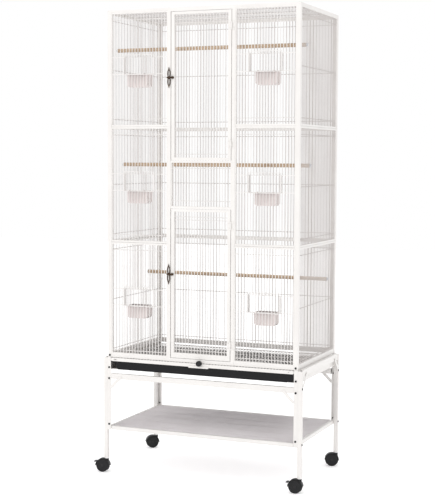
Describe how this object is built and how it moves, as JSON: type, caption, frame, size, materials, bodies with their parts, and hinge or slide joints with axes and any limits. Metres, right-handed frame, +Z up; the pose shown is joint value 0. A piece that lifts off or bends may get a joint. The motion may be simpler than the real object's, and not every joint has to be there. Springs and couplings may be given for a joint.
{
  "type": "bird cage on stand",
  "caption": "Tall three-tier wire flight cage on a rolling stand, with two front doors, sliding feeder gates, hung cups, perches, slide-out grate and tray, and a lower shelf.",
  "frame": {"origin": "on the floor, midway between the four stand legs", "axes": "+Z up, +X to the right seen from the front, -Y towards the viewer at the front doors"},
  "size_m": [0.8844, 0.501, 1.829],
  "materials": {
    "white_powder_coat": "warm white powder coat, satin with a fine orange peel",
    "door_white": "warm white powder coat, worn a little at hinge and stile",
    "shelf_white": "white powder coat over close welded mesh",
    "latch_bronze": "dark antique bronze",
    "perch_wood": "pale bare hardwood dowel",
    "cup_plastic": "translucent off-white plastic",
    "tray_black": "black satin sheet",
    "knob_black": "black moulded plastic",
    "caster_black": "black moulded nylon",
    "wheel_black": "black rolling tread with worn band",
    "zinc_steel": "zinc plated steel"
  },
  "bodies": {
    "cage": {"corner_posts": "white_powder_coat", "front_dividers": "white_powder_coat", "door_rails": "white_powder_coat", "front_panel_left_lower": "white_powder_coat", "front_panel_left_middle": "white_powder_coat", "front_panel_left_upper": "white_powder_coat", "front_panel_right_lower": "white_powder_coat", "front_panel_right_middle": "white_powder_coat", "front_panel_right_upper": "white_powder_coat", "centre_grille": "white_powder_coat", "left_wall": "white_powder_coat", "right_wall": "white_powder_coat", "back_wall": "white_powder_coat", "roof_panel": "white_powder_coat", "door_hinge_pins": "white_powder_coat", "latch_plates": "latch_bronze", "perches": "perch_wood", "perch_screws": "zinc_steel", "stand_legs": "white_powder_coat", "upright_angles": "white_powder_coat", "front_rail": "white_powder_coat", "rear_rail": "white_powder_coat", "left_rail": "white_powder_coat", "right_rail": "white_powder_coat", "corner_braces": "white_powder_coat", "shelf": "shelf_white", "frame_bolts": "zinc_steel", "caster_stems": "zinc_steel"},
    "upper_door": {"upper_door": "door_white"},
    "lower_door": {"lower_door": "door_white"},
    "upper_latch": {"upper_latch_lever": "latch_bronze"},
    "lower_latch": {"lower_latch_lever": "latch_bronze"},
    "grate": {"grate": "white_powder_coat", "grate_front_bar": "white_powder_coat"},
    "knob": {"grate_knob": "knob_black"},
    "tray": {"tray": "tray_black", "tray_flanges": "tray_black", "tray_front": "tray_black"},
    "gate_left_lower": {"feeder_gate_left_lower": "door_white"},
    "cup_left_lower": {"feeder_cup_left_lower": "cup_plastic"},
    "gate_left_middle": {"feeder_gate_left_middle": "door_white"},
    "cup_left_middle": {"feeder_cup_left_middle": "cup_plastic"},
    "gate_left_upper": {"feeder_gate_left_upper": "door_white"},
    "cup_left_upper": {"feeder_cup_left_upper": "cup_plastic"},
    "gate_right_lower": {"feeder_gate_right_lower": "door_white"},
    "cup_right_lower": {"feeder_cup_right_lower": "cup_plastic"},
    "gate_right_middle": {"feeder_gate_right_middle": "door_white"},
    "cup_right_middle": {"feeder_cup_right_middle": "cup_plastic"},
    "gate_right_upper": {"feeder_gate_right_upper": "door_white"},
    "cup_right_upper": {"feeder_cup_right_upper": "cup_plastic"},
    "caster_front_left": {"caster_housing_front_left": "caster_black"},
    "wheels_front_left": {"caster_wheels_front_left": "wheel_black"},
    "brake_front_left": {"brake_lever_front_left": "caster_black"},
    "caster_front_right": {"caster_housing_front_right": "caster_black"},
    "wheels_front_right": {"caster_wheels_front_right": "wheel_black"},
    "brake_front_right": {"brake_lever_front_right": "caster_black"},
    "caster_rear_left": {"caster_housing_rear_left": "caster_black"},
    "wheels_rear_left": {"caster_wheels_rear_left": "wheel_black"},
    "caster_rear_right": {"caster_housing_rear_right": "caster_black"},
    "wheels_rear_right": {"caster_wheels_rear_right": "wheel_black"}
  },
  "joints": [
    {"name": "upper_door_swing", "type": "hinge", "parent": "cage", "child": "upper_door", "pos_m": [0.12525, -0.2386, 1.53075], "axis": [0, 0, 1], "range_deg": [0, 120]},
    {"name": "lower_door_swing", "type": "hinge", "parent": "cage", "child": "lower_door", "pos_m": [0.12525, -0.2386, 0.771], "axis": [0, 0, 1], "range_deg": [0, 120]},
    {"name": "upper_latch_turn", "type": "hinge", "parent": "upper_door", "child": "upper_latch", "pos_m": [-0.1175, -0.236, 1.564], "axis": [0, 1, 0], "range_deg": [0, 90]},
    {"name": "lower_latch_turn", "type": "hinge", "parent": "lower_door", "child": "lower_latch", "pos_m": [-0.1175, -0.236, 0.807], "axis": [0, 1, 0], "range_deg": [0, 90]},
    {"name": "gate_left_lower_lift", "type": "slide", "parent": "cage", "child": "gate_left_lower", "axis": [0, 0, 1], "range_m": [0, 0.058]},
    {"name": "cup_left_lower_lift", "type": "slide", "parent": "cage", "child": "cup_left_lower", "axis": [0, 0, 1], "range_m": [0, 0.025]},
    {"name": "gate_left_middle_lift", "type": "slide", "parent": "cage", "child": "gate_left_middle", "axis": [0, 0, 1], "range_m": [0, 0.058]},
    {"name": "cup_left_middle_lift", "type": "slide", "parent": "cage", "child": "cup_left_middle", "axis": [0, 0, 1], "range_m": [0, 0.025]},
    {"name": "gate_left_upper_lift", "type": "slide", "parent": "cage", "child": "gate_left_upper", "axis": [0, 0, 1], "range_m": [0, 0.058]},
    {"name": "cup_left_upper_lift", "type": "slide", "parent": "cage", "child": "cup_left_upper", "axis": [0, 0, 1], "range_m": [0, 0.025]},
    {"name": "gate_right_lower_lift", "type": "slide", "parent": "cage", "child": "gate_right_lower", "axis": [0, 0, 1], "range_m": [0, 0.058]},
    {"name": "cup_right_lower_lift", "type": "slide", "parent": "cage", "child": "cup_right_lower", "axis": [0, 0, 1], "range_m": [0, 0.025]},
    {"name": "gate_right_middle_lift", "type": "slide", "parent": "cage", "child": "gate_right_middle", "axis": [0, 0, 1], "range_m": [0, 0.058]},
    {"name": "cup_right_middle_lift", "type": "slide", "parent": "cage", "child": "cup_right_middle", "axis": [0, 0, 1], "range_m": [0, 0.025]},
    {"name": "gate_right_upper_lift", "type": "slide", "parent": "cage", "child": "gate_right_upper", "axis": [0, 0, 1], "range_m": [0, 0.058]},
    {"name": "cup_right_upper_lift", "type": "slide", "parent": "cage", "child": "cup_right_upper", "axis": [0, 0, 1], "range_m": [0, 0.025]},
    {"name": "grate_slide", "type": "slide", "parent": "cage", "child": "grate", "axis": [0, -1, 0], "range_m": [0, 0.35]},
    {"name": "knob_turn", "type": "hinge", "parent": "grate", "child": "knob", "pos_m": [0, -0.24, 0.4665], "axis": [0, -1, 0], "continuous": true},
    {"name": "tray_slide", "type": "slide", "parent": "cage", "child": "tray", "axis": [0, -1, 0], "range_m": [0, 0.38]},
    {"name": "caster_front_left_swivel", "type": "hinge", "parent": "cage", "child": "caster_front_left", "pos_m": [-0.4075, -0.23, 0.05], "axis": [0, 0, 1], "continuous": true},
    {"name": "wheels_front_left_roll", "type": "hinge", "parent": "caster_front_left", "child": "wheels_front_left", "pos_m": [-0.42326, -0.23278, 0.025], "axis": [-0.1736, 0.9848, 0], "continuous": true},
    {"name": "brake_front_left_lift", "type": "hinge", "parent": "caster_front_left", "child": "brake_front_left", "pos_m": [-0.45034, -0.23755, 0.041], "axis": [-0.1736, 0.9848, 0], "range_deg": [0, 25]},
    {"name": "caster_front_right_swivel", "type": "hinge", "parent": "cage", "child": "caster_front_right", "pos_m": [0.4075, -0.23, 0.05], "axis": [0, 0, 1], "continuous": true},
    {"name": "wheels_front_right_roll", "type": "hinge", "parent": "caster_front_right", "child": "wheels_front_right", "pos_m": [0.39159, -0.23167, 0.025], "axis": [-0.1045, 0.9945, 0], "continuous": true},
    {"name": "brake_front_right_lift", "type": "hinge", "parent": "caster_front_right", "child": "brake_front_right", "pos_m": [0.36424, -0.23455, 0.041], "axis": [-0.1045, 0.9945, 0], "range_deg": [0, 25]},
    {"name": "caster_rear_left_swivel", "type": "hinge", "parent": "cage", "child": "caster_rear_left", "pos_m": [-0.4075, 0.23, 0.05], "axis": [0, 0, 1], "continuous": true},
    {"name": "wheels_rear_left_roll", "type": "hinge", "parent": "caster_rear_left", "child": "wheels_rear_left", "pos_m": [-0.42061, 0.22082, 0.025], "axis": [-0.5736, 0.8192, 0], "continuous": true},
    {"name": "caster_rear_right_swivel", "type": "hinge", "parent": "cage", "child": "caster_rear_right", "pos_m": [0.4075, 0.23, 0.05], "axis": [0, 0, 1], "continuous": true},
    {"name": "wheels_rear_right_roll", "type": "hinge", "parent": "caster_rear_right", "child": "wheels_rear_right", "pos_m": [0.39247, 0.22453, 0.025], "axis": [-0.342, 0.9397, 0], "continuous": true}
  ]
}
